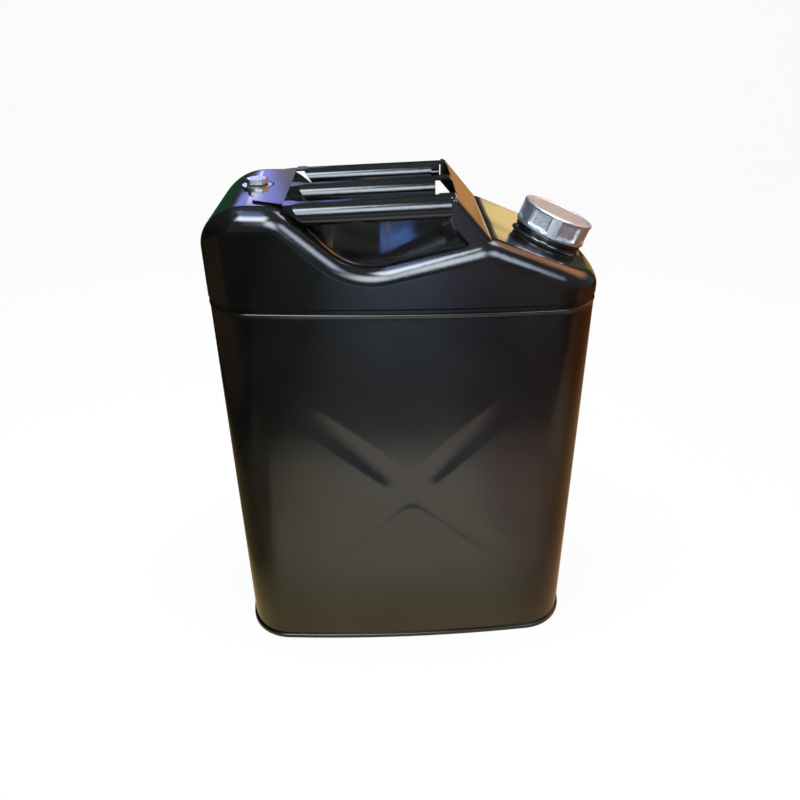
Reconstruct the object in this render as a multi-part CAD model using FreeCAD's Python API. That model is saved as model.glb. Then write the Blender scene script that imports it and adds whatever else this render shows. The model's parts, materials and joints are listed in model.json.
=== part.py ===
import FreeCAD
import Part
import math
import os
from FreeCAD import Placement, Rotation, Vector

# Steel fuel can for twenty litres, in millimetres.
# The origin is at the middle of the base, on the ground. +X runs towards the filler neck,
# -Y is the wide face seen first, and +Z is up.

# Body
BODY_WIDTH = 345.0
BODY_DEPTH = 165.0
CORNER_RADIUS = 44.5
FACE_CROWN = 5.2
SIDE_CROWN = 2.8
SEAM_HEIGHT = 376.0
BODY_SHEET = 1.0
BODY_EDGE_RADIUS = 0.7
SEAM_CLEARANCE = 0.05
WELD_WIDTH = 5.0
WELD_HEIGHT = 0.5

# Pressed cross on each wide face
CROSS_X = 3.0
CROSS_Z = 199.0
CROSS_ANGLE = 44.0
CROSS_ARM = 150.0
CROSS_FADE = 30.0
CROSS_HALF_WIDTH = 15.0
CROSS_SIDE_SLOPE = 6.0
CROSS_DEPTH = 2.0
CROSS_RUN_OUT = 1.0
CROSS_CROTCH_RADIUS = 22.0
CROSS_END_RADIUS = 8.0

# Base pan and the bead that its rim makes round the foot of the body
CHIME_HEIGHT = 5.0
CHIME_SHEET = 1.0
CHIME_PROUD = 2.0
CHIME_EDGE_RADIUS = 1.1
BASE_RECESS = 9.0
PANEL_RISE = 2.5
PANEL_MARGIN = 26.0
PANEL_SLOPE = 5.0

# Top shell. Its outline seen from the front is set by places along the can, measured from the
# left or right end of the body, and by depths below the shoulder.
TOP_SHEET = 1.0
TOP_PROUD = 0.8
TOP_HEIGHT = 85.7
GROOVE_HEIGHT = 3.0
JOGGLE_HEIGHT = 2.0
SKIRT_DEPTH = 12.0
RIM_RADIUS = 16.5
SHOULDER_LEFT = 47.0
SHOULDER_RADIUS = 45.0
SHOULDER_FALL = 70.0
LIP_LEFT = 72.5
LIP_RADIUS = 30.0
RECESS_LEFT = 132.5
RECESS_DEPTH = 50.3
RECESS_RADIUS = 50.0
RIDGE_RIGHT = 104.5
RIDGE_DEPTH = 24.4
RIDGE_RADIUS = 30.0
SPOUT_TILT = 21.5

# Filler neck and the collar drawn round it
NECK_RIGHT = 42.5
NECK_BORE_RADIUS = 24.0
NECK_THREAD_RADIUS = 27.0
NECK_TOP = 21.5
NECK_BELOW = 8.0
NECK_CHAMFER = 1.0
NECK_RING_RADIUS = 31.0
NECK_RING_HEIGHT = 3.5
COLLAR_RADIUS = 30.0
COLLAR_HEIGHT = 4.0
COLLAR_FLARE = 4.0

# Screw cap and its gasket
CAP_RADIUS = 32.5
CAP_LIFT = 0.4
CAP_ROOF = 3.8
CAP_DISH_DEPTH = 0.8
CAP_RIM_WIDTH = 3.5
CAP_EDGE_RADIUS = 1.2
CAP_THREAD_CLEARANCE = 0.4
POCKET_COUNT = 7
POCKET_DEPTH = 3.4
POCKET_WIDTH = 19.5
POCKET_CORNER_RADIUS = 1.5
POCKET_BOTTOM_MARGIN = 3.2
POCKET_TOP_MARGIN = 2.0
RIB_AZIMUTH = -103.0
GASKET_WIDTH = 4.0
GASKET_THICKNESS = 2.5
SEAT_CLEARANCE = 0.1

# Handle plate. Places along the can are measured from its ends, as on the top shell.
HANDLE_SHEET = 1.5
HANDLE_INSET = 9.5
BAR_COUNT = 3
BAR_WIDTH = 23.0
BAR_DROP = 17.5
BAR_TOP_RADIUS = 9.0
BAR_CURL_RADIUS = 8.0
BAR_MOUTH = 12.0
BAR_RISE = 2.6
ROLL_LEFT = 82.5
ROLL_LEAN = 12.0
ROLL_END = 13.0
OUTER_ROLL_END = 4.0
BEND_RIGHT = 131.5
BEND_RADIUS = 5.0
LEG_FALL = 49.0
LEG_START = 3.0
LEG_EDGE_RADIUS = 3.0
FLANGE_DROP = 16.0
FOOT_DEPTH = 6.0
SLOT_LEFT = 76.5
SLOT_END = 2.0
SLOT_EAR = 4.5
SLOT_CORNER_RADIUS = 4.0
TAB_LEFT = 50.5
TAB_END_HALF = 51.5
TAB_CORNER_RADIUS = 4.0
TAB_RELIEF_GAP = 1.5

# Vent screw, the washer and the seal under its head, and its bush under the shoulder
VENT_LEFT = 48.2
VENT_SHANK_RADIUS = 6.0
VENT_CLEARANCE = 0.1
VENT_HOLE_CLEARANCE = 0.6
VENT_LENGTH = 15.0
VENT_FLATS = 17.0
VENT_HEAD = 3.6
VENT_HEAD_CHAMFER = 0.6
VENT_CORNER_TURNING = 1.6
WASHER_RADIUS = 12.8
WASHER_THICKNESS = 1.5
SEAL_RADIUS = 9.0
SEAL_THICKNESS = 1.5
BUSH_RADIUS = 11.0
BUSH_LENGTH = 8.0

# Places that follow from the sizes
SHOULDER_HEIGHT = SEAM_HEIGHT + TOP_HEIGHT
LIP_X = LIP_LEFT - BODY_WIDTH / 2
RECESS_X = RECESS_LEFT - BODY_WIDTH / 2
RIDGE_X = BODY_WIDTH / 2 - RIDGE_RIGHT
RIDGE_HEIGHT = SHOULDER_HEIGHT - RIDGE_DEPTH
NECK_X = BODY_WIDTH / 2 - NECK_RIGHT
CAP_BASE = COLLAR_HEIGHT + NECK_RING_HEIGHT + CAP_LIFT
HANDLE_HALF = BODY_DEPTH / 2 - HANDLE_INSET
BAR_PITCH = (2 * HANDLE_HALF - BAR_WIDTH) / (BAR_COUNT - 1)
BAR_FLAT = BAR_WIDTH / 2 - BAR_TOP_RADIUS
SLOT_X = SLOT_LEFT - BODY_WIDTH / 2
ROLL_X = ROLL_LEFT - BODY_WIDTH / 2
BEND_X = BODY_WIDTH / 2 - BEND_RIGHT
VENT_X = VENT_LEFT - BODY_WIDTH / 2


def direction(degrees):
    """The unit step in a flat drawing at this angle from its first axis."""
    angle = math.radians(degrees)
    return math.cos(angle), math.sin(angle)


def crossing(first, second):
    """Where two flat lines meet, each given as a point and a direction."""
    (ax, ay), (adx, ady) = first
    (bx, by), (bdx, bdy) = second
    along = ((bx - ax) * bdy - (by - ay) * bdx) / (adx * bdy - ady * bdx)
    return ax + along * adx, ay + along * ady


def inset_corners(corners, inset):
    """Corners of the shape that lies inside this one, with its rounds kept concentric.

    Corners run anticlockwise, each with its place and its radius.
    """
    count = len(corners)
    sides = []
    for index, (u, v, _) in enumerate(corners):
        next_u, next_v, _ = corners[(index + 1) % count]
        length = math.hypot(next_u - u, next_v - v)
        du, dv = (next_u - u) / length, (next_v - v) / length
        sides.append(((u - dv * inset, v + du * inset), (du, dv)))
    moved = []
    for index, (_, _, radius) in enumerate(corners):
        before, after = sides[index - 1], sides[index]
        u, v = crossing(before, after)
        turn = before[1][0] * after[1][1] - before[1][1] * after[1][0]
        if radius:
            radius = radius - inset if turn > 0 else radius + inset
        moved.append((u, v, radius))
    return moved


def rounded_wire(corners, place):
    """A closed wire through the corners, each rounded to its radius, placed in space."""
    count = len(corners)
    runs = []
    for index, (u, v, radius) in enumerate(corners):
        before, after = corners[index - 1], corners[(index + 1) % count]
        back = Vector(before[0] - u, before[1] - v, 0).normalize()
        ahead = Vector(after[0] - u, after[1] - v, 0).normalize()
        corner = Vector(u, v, 0)
        if not radius:
            runs.append((corner, None, corner))
            continue
        half = back.getAngle(ahead) / 2
        reach = radius / math.tan(half)
        middle = corner + (back + ahead).normalize() * (radius / math.sin(half) - radius)
        runs.append((corner + back * reach, middle, corner + ahead * reach))
    edges = []
    for index, (start, middle, end) in enumerate(runs):
        if middle is not None:
            edges.append(Part.Arc(place(start), place(middle), place(end)).toShape())
        next_start = runs[(index + 1) % count][0]
        if end.distanceToPoint(next_start) > 1e-6:
            edges.append(Part.LineSegment(place(end), place(next_start)).toShape())
    return Part.Wire(edges)


def facing_front(depth):
    """Places a drawing with its first axis along X and its second up, at this Y."""
    return lambda point: Vector(point.x, depth, point.y)


def lying_flat(height):
    """Places a drawing in plan, at this height."""
    return lambda point: Vector(point.x, point.y, height)


def facing_side(station):
    """Places a drawing with its first axis along Y and its second up, at this X."""
    return lambda point: Vector(station, point.x, point.y)


def plan_curves():
    """Centres and radii of the three kinds of arc in the can's plan, for its +X, +Y quarter."""
    half_width, half_depth = BODY_WIDTH / 2, BODY_DEPTH / 2
    face_chord, side_chord = half_width - CORNER_RADIUS, half_depth - CORNER_RADIUS
    face_radius = (face_chord ** 2 + FACE_CROWN ** 2) / (2 * FACE_CROWN)
    side_radius = (side_chord ** 2 + SIDE_CROWN ** 2) / (2 * SIDE_CROWN)
    face_centre = Vector(0, half_depth - face_radius, 0)
    side_centre = Vector(half_width - side_radius, 0, 0)
    face_reach, side_reach = face_radius - CORNER_RADIUS, side_radius - CORNER_RADIUS
    between = side_centre - face_centre
    distance = between.Length
    along = (face_reach ** 2 - side_reach ** 2 + distance ** 2) / (2 * distance)
    across = math.sqrt(face_reach ** 2 - along ** 2)
    step = between / distance
    candidates = [face_centre + step * along + Vector(-step.y, step.x, 0) * side * across for side in (1, -1)]
    corner_centre = max(candidates, key=lambda point: point.x + point.y)
    return (face_centre, face_radius), (side_centre, side_radius), corner_centre


def plan_wire(offset, height):
    """The can's rounded and slightly bulging outline in plan, moved outwards by the offset."""
    (face_centre, face_radius), (side_centre, side_radius), corner = plan_curves()
    face_step = (corner - face_centre).normalize()
    side_step = (corner - side_centre).normalize()
    on_face = face_centre + face_step * (face_radius + offset)
    on_side = side_centre + side_step * (side_radius + offset)
    in_corner = corner + (face_step + side_step).normalize() * (CORNER_RADIUS + offset)
    face_top = Vector(0, BODY_DEPTH / 2 + offset, 0)
    side_top = Vector(BODY_WIDTH / 2 + offset, 0, 0)

    def mirrored(point, sign_x, sign_y):
        return Vector(point.x * sign_x, point.y * sign_y, height)

    def arc(start, middle, end):
        return Part.Arc(start, middle, end).toShape()

    edges = []
    for sign_x, sign_y in ((1, 1), (-1, 1), (-1, -1), (1, -1)):
        first, last = (on_side, on_face) if sign_x * sign_y > 0 else (on_face, on_side)
        edges.append(arc(mirrored(first, sign_x, sign_y), mirrored(in_corner, sign_x, sign_y),
                         mirrored(last, sign_x, sign_y)))
        if sign_x * sign_y > 0:
            edges.append(arc(mirrored(on_face, sign_x, sign_y), mirrored(face_top, 1, sign_y),
                             mirrored(on_face, -sign_x, sign_y)))
        else:
            edges.append(arc(mirrored(on_side, sign_x, sign_y), mirrored(side_top, sign_x, 1),
                             mirrored(on_side, sign_x, -sign_y)))
    return Part.Wire(edges)


def plan_block(offset, low, high):
    """A solid with the can's plan outline, between two heights."""
    return Part.Face(plan_wire(offset, low)).extrude(Vector(0, 0, high - low))


def plan_ring(outer, inner, low, high):
    """A band that follows the can's plan outline, between two offsets and two heights."""
    return plan_block(outer, low, high).cut(plan_block(inner, low - 1, high + 1))


def lofted(lower, upper):
    """A solid with straight sides between two wires of the same make."""
    return Part.makeLoft([lower, upper], True, True)


def turned(corners):
    """A solid of revolution about Z from a section drawn with its radius along the first axis."""
    return Part.Face(rounded_wire(corners, facing_front(0))).revolve(Vector(), Vector(0, 0, 1), 360)


def cross_corners(arm, half_width, end_radius):
    """Corners of the pressed cross: four arms, with rounded crotches between them."""
    angles = [CROSS_ANGLE, 180 - CROSS_ANGLE, 180 + CROSS_ANGLE, 360 - CROSS_ANGLE]
    corners = []
    for index, angle in enumerate(angles):
        out_x, out_z = direction(angle)
        side_x, side_z = -out_z, out_x
        for side in (-1, 1):
            corners.append((CROSS_X + out_x * arm + side_x * side * half_width,
                            CROSS_Z + out_z * arm + side_z * side * half_width, end_radius))
        next_angle = angles[(index + 1) % 4]
        next_x, next_z = direction(next_angle)
        edge = ((CROSS_X + side_x * half_width, CROSS_Z + side_z * half_width), (out_x, out_z))
        next_edge = ((CROSS_X + next_z * half_width, CROSS_Z - next_x * half_width), (next_x, next_z))
        crotch_x, crotch_z = crossing(edge, next_edge)
        corners.append((crotch_x, crotch_z, CROSS_CROTCH_RADIUS))
    return corners


def cross_press(grow):
    """The cross that is pressed into both wide faces, grown for the inner side of the sheet."""
    half_depth = BODY_DEPTH / 2
    deepest = half_depth - FACE_CROWN - CROSS_DEPTH - BODY_SHEET - CROSS_RUN_OUT
    mouth = cross_corners(CROSS_ARM + grow, CROSS_HALF_WIDTH + grow, CROSS_END_RADIUS + grow)
    floor = cross_corners(CROSS_ARM - CROSS_FADE + grow, CROSS_HALF_WIDTH - CROSS_SIDE_SLOPE + grow,
                          CROSS_END_RADIUS - CROSS_SIDE_SLOPE + grow)
    shapes = []
    for side in (-1, 1):
        shapes.append(lofted(rounded_wire(mouth, facing_front(side * (half_depth + CROSS_RUN_OUT))),
                             rounded_wire(floor, facing_front(side * deepest))))
    reach = CROSS_ARM + CROSS_HALF_WIDTH + 2 * grow
    core = plan_block(-CROSS_DEPTH - grow, CROSS_Z - reach, CROSS_Z + reach)
    return shapes[0].fuse(shapes[1]).cut(core)


def make_body_wall():
    """The wrapped wall, open at both ends, with the cross on its wide faces and its weld."""
    outer = plan_block(0, CHIME_SHEET, SEAM_HEIGHT)
    top_edges = [edge for edge in outer.Edges if edge.BoundBox.ZMin > SEAM_HEIGHT - BODY_EDGE_RADIUS]
    outer = outer.makeFillet(BODY_EDGE_RADIUS, top_edges).cut(cross_press(0))
    bead_height = SEAM_HEIGHT - SKIRT_DEPTH - CHIME_HEIGHT
    bead = Part.makeCylinder(WELD_WIDTH / 2, bead_height, Vector(0, 0, 0))
    bead.translate(Vector(-BODY_WIDTH / 2 + WELD_WIDTH / 2 - WELD_HEIGHT, 0, CHIME_HEIGHT))
    outer = outer.fuse(bead)
    inner = plan_block(-BODY_SHEET, 0, SEAM_HEIGHT + 1).cut(cross_press(BODY_SHEET))
    return outer.cut(inner)


def make_base_pan():
    """The recessed bottom, with its rim folded round the foot of the wall."""
    proud = SEAM_CLEARANCE + CHIME_PROUD
    wall_inside = -BODY_SHEET - SEAM_CLEARANCE
    bead = plan_block(proud, 0, CHIME_HEIGHT)
    rims = [edge for edge in bead.Edges if edge.BoundBox.ZLength < 1e-6]
    bead = bead.makeFillet(CHIME_EDGE_RADIUS, rims)
    pocket = plan_ring(SEAM_CLEARANCE, wall_inside, CHIME_SHEET, CHIME_HEIGHT + 1)
    floor_top = BASE_RECESS + CHIME_SHEET
    pan = bead.cut(pocket).fuse(plan_block(wall_inside, 0, floor_top))
    pan = pan.cut(plan_block(wall_inside - CHIME_SHEET, -1, BASE_RECESS))

    def panel(margin, low):
        foot = plan_wire(-margin, low)
        crest = plan_wire(-margin - PANEL_SLOPE, low + PANEL_RISE)
        return lofted(foot, crest)

    pan = pan.fuse(panel(PANEL_MARGIN, floor_top))
    return pan.cut(panel(PANEL_MARGIN + CHIME_SHEET, BASE_RECESS))


def spout_height(x):
    """Height of the spout face at this X."""
    return RIDGE_HEIGHT - math.tan(math.radians(SPOUT_TILT)) * (x - RIDGE_X)


def top_corners():
    """The top's outline seen from the front, anticlockwise from its lower left."""
    far = BODY_WIDTH
    low = SEAM_HEIGHT - far / 2
    fall = math.tan(math.radians(SHOULDER_FALL))
    corner_x = (SHOULDER_LEFT - BODY_WIDTH / 2
                - SHOULDER_RADIUS * math.tan(math.radians(SHOULDER_FALL / 2)))
    return [
        (-far, low, 0),
        (far, low, 0),
        (far, spout_height(far), 0),
        (RIDGE_X, RIDGE_HEIGHT, RIDGE_RADIUS),
        (RECESS_X, SHOULDER_HEIGHT - RECESS_DEPTH, RECESS_RADIUS),
        (LIP_X, SHOULDER_HEIGHT, LIP_RADIUS),
        (corner_x, SHOULDER_HEIGHT, SHOULDER_RADIUS),
        (-far, SHOULDER_HEIGHT - fall * (far + corner_x), 0),
    ]


def top_mass(inset):
    """The top as a full solid with its rolled rim, from the groove upwards."""
    low = SEAM_HEIGHT + GROOVE_HEIGHT + JOGGLE_HEIGHT
    outline = rounded_wire(inset_corners(top_corners(), inset), facing_front(-BODY_DEPTH))
    front_view = Part.Face(outline).extrude(Vector(0, 2 * BODY_DEPTH, 0))
    mass = plan_block(TOP_PROUD - inset, low, 2 * SHOULDER_HEIGHT).common(front_view)
    rim = []
    for edge in mass.Edges:
        start, end = edge.ParameterRange
        middle = edge.valueAt((start + end) / 2)
        faces = mass.ancestorsOfType(edge, Part.Face)
        upright = [abs(face.normalAt(*face.Surface.parameter(middle)).z) < 1e-3 for face in faces]
        if middle.z > low + JOGGLE_HEIGHT / 2 and sorted(upright) == [False, True]:
            rim.append(edge)
    return mass.makeFillet(RIM_RADIUS - inset, rim)


def neck_placement():
    """The place of the filler neck: its foot on the spout face, tilted with it."""
    return Placement(Vector(NECK_X, 0, spout_height(NECK_X)), Rotation(Vector(0, 1, 0), SPOUT_TILT))


def at_neck(shape):
    """A shape drawn about Z, moved onto the filler neck's axis."""
    moved = shape.copy()
    moved.Placement = neck_placement()
    return moved


def collar_mass(inset):
    """The collar drawn up out of the spout face, as a full solid with a flared foot."""
    radius = COLLAR_RADIUS - inset
    reach = COLLAR_RADIUS + 2 * COLLAR_FLARE
    root = -2 * TOP_SHEET
    top = COLLAR_HEIGHT + inset
    return at_neck(turned([(0, root, 0), (reach, root, 0), (reach, -inset, 0),
                           (radius, -inset, COLLAR_FLARE + inset), (radius, top, 0), (0, top, 0)]))


def make_top_shell():
    """The drawn top: rolled rim, recess, spout collar, and a necked skirt inside the wall."""
    groove_top = SEAM_HEIGHT + GROOVE_HEIGHT
    joggle_top = groove_top + JOGGLE_HEIGHT
    skirt_offset = -BODY_SHEET - SEAM_CLEARANCE

    def stack(inset, depth):
        skirt = plan_block(skirt_offset - inset, SEAM_HEIGHT - depth, groove_top)
        joggle = lofted(plan_wire(skirt_offset - inset, groove_top), plan_wire(TOP_PROUD - inset, joggle_top))
        return skirt.fuse([joggle, top_mass(inset), collar_mass(inset)])

    shell = stack(0, SKIRT_DEPTH).cut(stack(TOP_SHEET, SKIRT_DEPTH + TOP_SHEET))
    vent_hole = Part.makeCylinder(VENT_SHANK_RADIUS + VENT_HOLE_CLEARANCE, 4 * TOP_SHEET,
                                  Vector(VENT_X, 0, SHOULDER_HEIGHT - 2 * TOP_SHEET))
    return shell.cut(vent_hole)


def make_filler_neck():
    """The neck: a tube held in the collar, with a ring on the collar's rim and a thread above it."""
    fit = COLLAR_RADIUS - TOP_SHEET - SEAM_CLEARANCE
    ring_low = COLLAR_HEIGHT + SEAM_CLEARANCE
    ring_high = COLLAR_HEIGHT + NECK_RING_HEIGHT
    return at_neck(turned([
        (NECK_BORE_RADIUS, -NECK_BELOW, 0), (fit, -NECK_BELOW, 0), (fit, ring_low, 0),
        (NECK_RING_RADIUS, ring_low, 0), (NECK_RING_RADIUS, ring_high, 0), (NECK_THREAD_RADIUS, ring_high, 0),
        (NECK_THREAD_RADIUS, NECK_TOP - NECK_CHAMFER, 0), (NECK_THREAD_RADIUS - NECK_CHAMFER, NECK_TOP, 0),
        (NECK_BORE_RADIUS, NECK_TOP, 0),
    ]))


def make_screw_cap():
    """The cast cap: a plain rim, flat-floored pockets with ribs between them, and a dished roof."""
    cavity = NECK_THREAD_RADIUS + CAP_THREAD_CLEARANCE
    ceiling = NECK_TOP + GASKET_THICKNESS + 2 * SEAT_CLEARANCE
    roof = ceiling + CAP_ROOF
    dish = CAP_RADIUS - CAP_RIM_WIDTH
    dish_floor = roof - CAP_DISH_DEPTH
    cap = turned([
        (0, ceiling, 0), (cavity, ceiling, 0), (cavity, CAP_BASE, 0),
        (CAP_RADIUS, CAP_BASE, CAP_EDGE_RADIUS), (CAP_RADIUS, roof, CAP_EDGE_RADIUS),
        (dish, roof, 0), (dish - CAP_DISH_DEPTH, dish_floor, 0), (0, dish_floor, 0),
    ])
    low, high = CAP_BASE + POCKET_BOTTOM_MARGIN, roof - POCKET_TOP_MARGIN
    half = POCKET_WIDTH / 2
    window = rounded_wire([(-half, low, POCKET_CORNER_RADIUS), (half, low, POCKET_CORNER_RADIUS),
                           (half, high, POCKET_CORNER_RADIUS), (-half, high, POCKET_CORNER_RADIUS)],
                          facing_side(CAP_RADIUS - POCKET_DEPTH))
    pocket = Part.Face(window).extrude(Vector(2 * POCKET_DEPTH, 0, 0))
    pitch = 360 / POCKET_COUNT
    pockets = []
    for index in range(POCKET_COUNT):
        sunk = pocket.copy()
        sunk.rotate(Vector(), Vector(0, 0, 1), RIB_AZIMUTH + (index + 0.5) * pitch)
        pockets.append(sunk)
    return at_neck(cap.cut(pockets))


def make_cap_gasket():
    """The flat rubber ring between the neck's rim and the cap's roof."""
    outer = NECK_THREAD_RADIUS
    low = NECK_TOP + SEAT_CLEARANCE
    high, inner = low + GASKET_THICKNESS, outer - GASKET_WIDTH
    return at_neck(turned([(inner, low, 0), (outer, low, 0), (outer, high, 0), (inner, high, 0)]))


def bar_top(x):
    """Height of the bars' upper face at this X: they rise a little towards the neck."""
    return SHOULDER_HEIGHT + HANDLE_SHEET + math.tan(math.radians(BAR_RISE)) * (x - SLOT_X)


def bar_places():
    """The Y of the middle of each bar."""
    return [(index - (BAR_COUNT - 1) / 2) * BAR_PITCH for index in range(BAR_COUNT)]


def front_prism(corners, half):
    """A solid with this outline seen from the front, as far each way from the can's middle plane."""
    return Part.Face(rounded_wire(corners, facing_front(-half))).extrude(Vector(0, 2 * half, 0))


def make_bar(middle):
    """One bar: a channel with rolled shoulders, curled under, its rolls cut on a slant at the start."""
    half, side = BAR_WIDTH / 2, BAR_WIDTH / 2 - HANDLE_SHEET
    inner_top, inner_curl = BAR_TOP_RADIUS - HANDLE_SHEET, BAR_CURL_RADIUS - HANDLE_SHEET
    start, end = ROLL_X, BEND_X - OUTER_ROLL_END
    top = bar_top(start)
    low = top - BAR_DROP

    def rolled(corners):
        moved = [(middle + across, height, radius) for across, height, radius in corners]
        face = Part.Face(rounded_wire(moved, facing_side(start)))
        return face.extrude(Vector(end - start, 0, bar_top(end) - top))

    bar = rolled([(-half, low, BAR_CURL_RADIUS), (half, low, BAR_CURL_RADIUS),
                  (half, top, BAR_TOP_RADIUS), (-half, top, BAR_TOP_RADIUS)])
    hollow = rolled([(-side, low + HANDLE_SHEET, inner_curl), (side, low + HANDLE_SHEET, inner_curl),
                     (side, top - HANDLE_SHEET, inner_top), (-side, top - HANDLE_SHEET, inner_top)])
    mouth = rolled([(-BAR_MOUTH / 2, low - BAR_DROP, 0), (BAR_MOUTH / 2, low - BAR_DROP, 0),
                    (BAR_MOUTH / 2, top - BAR_TOP_RADIUS, 0), (-BAR_MOUTH / 2, top - BAR_TOP_RADIUS, 0)])
    slant = front_prism([(start - ROLL_LEAN, low, 0), (start + ROLL_LEAN, low, 0), (start, top, 0),
                         (start - ROLL_LEAN, top, 0)], BODY_DEPTH)
    return bar.cut([hollow, mouth, slant])


def sloping_skin(plan):
    """Flat sheet in the plane of the bars' tops, with this outline in plan."""
    start, end = -BODY_WIDTH / 2, BODY_WIDTH / 2
    low, high = bar_top(start) - HANDLE_SHEET, bar_top(end) + HANDLE_SHEET
    band = front_prism([(start, low, 0), (end, bar_top(end) - HANDLE_SHEET, 0), (end, bar_top(end), 0),
                        (start, bar_top(start), 0)], BODY_DEPTH)
    return Part.Face(rounded_wire(plan, lying_flat(low))).extrude(Vector(0, 0, high - low)).common(band)


def leg_corners(inset, past):
    """The handle's sloping end seen from the front, with its flanges, as a full shape.

    The space under its skin has the sheet as its inset, and runs past the three open sides.
    """
    rise, fall = direction(BAR_RISE), direction(-LEG_FALL)
    bend = (BEND_X, bar_top(BEND_X))

    def skin(step, depth):
        return (bend[0] + step[1] * depth, bend[1] - step[0] * depth), step

    upright = ((BEND_X - LEG_START - past, 0), (0, 1))
    floor = ((0, RIDGE_HEIGHT - FOOT_DEPTH - past), (1, 0))
    top, leg, back = skin(rise, inset), skin(fall, inset), skin(fall, FLANGE_DROP + past)
    corners = [crossing(back, floor), crossing(leg, floor), crossing(top, leg), crossing(top, upright),
               crossing(back, upright)]
    return [(x, z, BEND_RADIUS - inset if index == 2 else 0) for index, (x, z) in enumerate(corners)]


def make_leg():
    """The sloping end of the handle that stands on the ridge: skin and side flanges."""
    leg = front_prism(leg_corners(0, 0), HANDLE_HALF)
    skin_edges = []
    for edge in leg.Edges:
        middle = edge.valueAt(sum(edge.ParameterRange) / 2)
        under_bars = bar_top(middle.x) - middle.z
        under_leg = bar_top(BEND_X) - math.tan(math.radians(LEG_FALL)) * (middle.x - BEND_X) - middle.z
        if edge.BoundBox.YLength < HANDLE_SHEET and min(under_bars, under_leg) < FLANGE_DROP / 4:
            skin_edges.append(edge)
    leg = leg.makeFillet(LEG_EDGE_RADIUS, skin_edges)
    return leg.cut(front_prism(leg_corners(HANDLE_SHEET, FLANGE_DROP), HANDLE_HALF - HANDLE_SHEET))


def make_tab():
    """The flat end of the handle on the shoulder, cut away round the vent screw."""
    half = HANDLE_HALF - BAR_TOP_RADIUS
    start = TAB_LEFT - BODY_WIDTH / 2
    plan = [(start, -TAB_END_HALF, TAB_CORNER_RADIUS), (SLOT_X, -half, 0), (SLOT_X, half, 0),
            (start, TAB_END_HALF, TAB_CORNER_RADIUS)]
    tab = Part.Face(rounded_wire(plan, lying_flat(SHOULDER_HEIGHT))).extrude(Vector(0, 0, HANDLE_SHEET))
    relief_radius = WASHER_RADIUS + TAB_RELIEF_GAP
    return tab.cut(Part.makeCylinder(relief_radius, HANDLE_SHEET, Vector(VENT_X, 0, SHOULDER_HEIGHT)))


def make_handle_plate():
    """The stamped plate: tab, three rolled bars with slots between them, and the sloping end."""
    wide = HANDLE_HALF - BAR_TOP_RADIUS
    leg_start, roll_end = BEND_X - LEG_START, BEND_X - ROLL_END
    far_skin = sloping_skin([(roll_end, -wide, 0), (leg_start, -wide, 0),
                             (leg_start, wide, 0), (roll_end, wide, 0)])

    under = HANDLE_SHEET + BAR_DROP
    rolls_end = [(roll_end, bar_top(roll_end) - HANDLE_SHEET, 0), (BEND_X, bar_top(BEND_X) - HANDLE_SHEET, 0),
                 (BEND_X, bar_top(BEND_X) - under, 0), (roll_end, bar_top(roll_end) - under, 0)]
    end_room = front_prism(rolls_end, max(bar_places()))
    strip_half = BAR_WIDTH / 2 - SLOT_EAR
    bars, slots = [], []
    for middle in bar_places():
        bars.append(make_bar(middle).cut(end_room))
        bars.append(sloping_skin([
            (SLOT_X, middle - strip_half, 0), (ROLL_X, middle - strip_half, 0),
            (ROLL_X + ROLL_LEAN / 2, middle - BAR_FLAT, 0), (ROLL_X + ROLL_LEAN / 2, middle + BAR_FLAT, 0),
            (ROLL_X, middle + strip_half, 0), (SLOT_X, middle + strip_half, 0),
        ]))
    for middle in bar_places()[1:]:
        near, far = middle - BAR_PITCH + strip_half, middle - strip_half
        end = BEND_X + SLOT_END
        plan = [(roll_end, near, 0), (end, near, SLOT_CORNER_RADIUS), (end, far, SLOT_CORNER_RADIUS),
                (roll_end, far, 0)]
        floor = RIDGE_HEIGHT - FOOT_DEPTH
        slot = Part.Face(rounded_wire(plan, lying_flat(floor)))
        slots.append(slot.extrude(Vector(0, 0, bar_top(end) + HANDLE_SHEET - floor)))

    plate = make_tab().fuse(bars + [far_skin, make_leg()]).cut(slots)
    return plate.cut(top_mass(-SEAM_CLEARANCE)).removeSplitter()


def make_vent_bush():
    """The threaded bush under the shoulder."""
    bush = Part.makeCylinder(BUSH_RADIUS, BUSH_LENGTH)
    bush = bush.cut(Part.makeCylinder(VENT_SHANK_RADIUS + VENT_CLEARANCE, BUSH_LENGTH))
    bush.translate(Vector(VENT_X, 0, SHOULDER_HEIGHT - TOP_SHEET - BUSH_LENGTH))
    return bush.common(top_mass(TOP_SHEET + SEAM_CLEARANCE))


def vent_ring(radius, bottom, thickness):
    """A flat ring round the vent screw's shank."""
    hole = Part.makeCylinder(VENT_SHANK_RADIUS + VENT_CLEARANCE, thickness)
    ring = Part.makeCylinder(radius, thickness).cut(hole)
    ring.translate(Vector(VENT_X, 0, bottom))
    return ring


def make_vent_washer():
    """The plated washer on the shoulder."""
    return vent_ring(WASHER_RADIUS, SHOULDER_HEIGHT, WASHER_THICKNESS)


def make_vent_seal():
    """The rubber ring between the washer and the screw's head."""
    return vent_ring(SEAL_RADIUS, SHOULDER_HEIGHT + WASHER_THICKNESS, SEAL_THICKNESS)


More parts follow.
